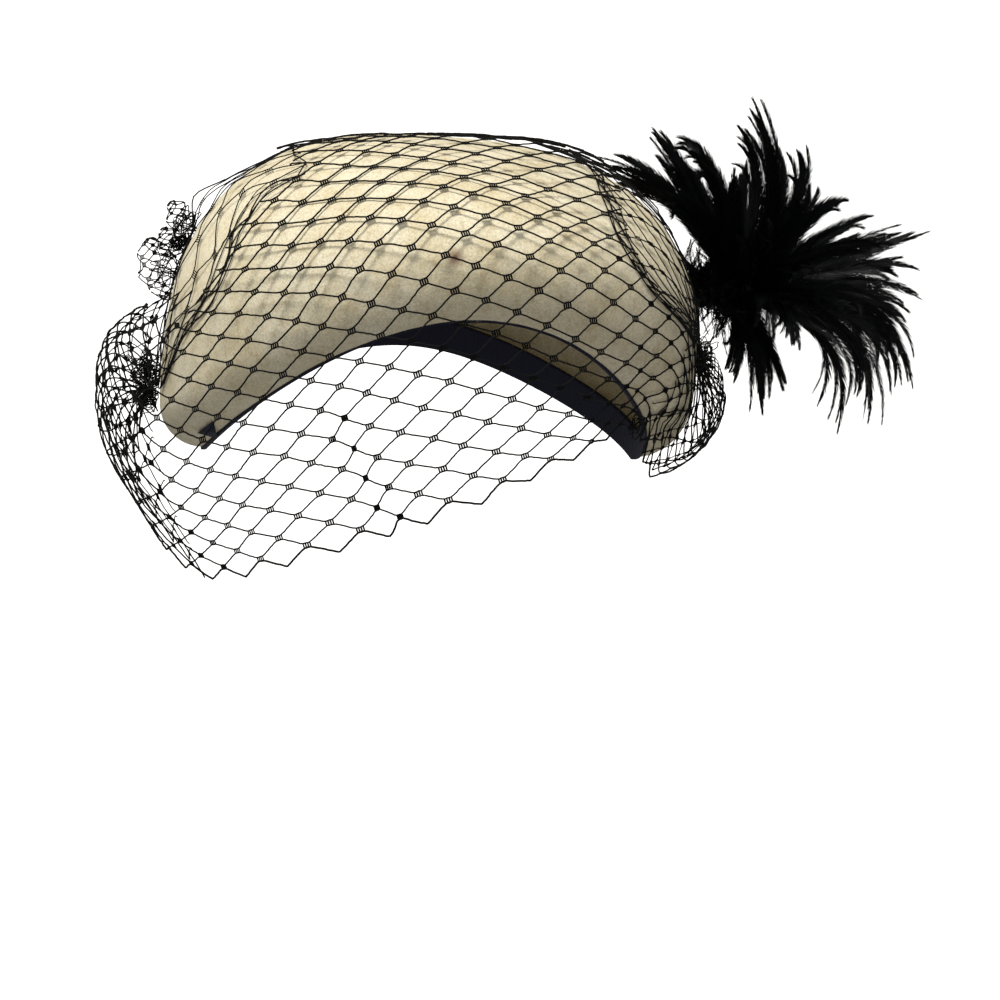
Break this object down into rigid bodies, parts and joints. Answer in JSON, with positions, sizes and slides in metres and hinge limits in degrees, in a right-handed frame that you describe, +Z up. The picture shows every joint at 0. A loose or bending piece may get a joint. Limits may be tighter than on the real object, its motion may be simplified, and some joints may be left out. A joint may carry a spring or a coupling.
{
  "type": "cocktail hat",
  "caption": "Rounded pale felt headband hat with an arched front, a diamond net birdcage veil caught at both sides, and a burst of black hackle feathers.",
  "frame": {"origin": "centre of the head opening, level with the tips of the two side lobes", "axes": "-Y is the wearer's front, +X the wearer's left, where the feathers are, and +Z up towards the top of the crown"},
  "size_m": [0.3198, 0.1584, 0.165],
  "materials": {
    "felt": "pale cream wool felt with a short brushed nap, slightly darker where it rolls under at the rim",
    "ribbon": "dark navy ribbed ribbon, matt",
    "net": "black knotted diamond veiling of twisted thread, slightly lustrous",
    "feather": "black hackle feathers with a soft grey gloss along the barbs"
  },
  "bodies": {
    "root": {"crown": "felt", "inner_ribbon": "ribbon", "veil": "net", "feathers": "feather"}
  },
  "joints": []
}
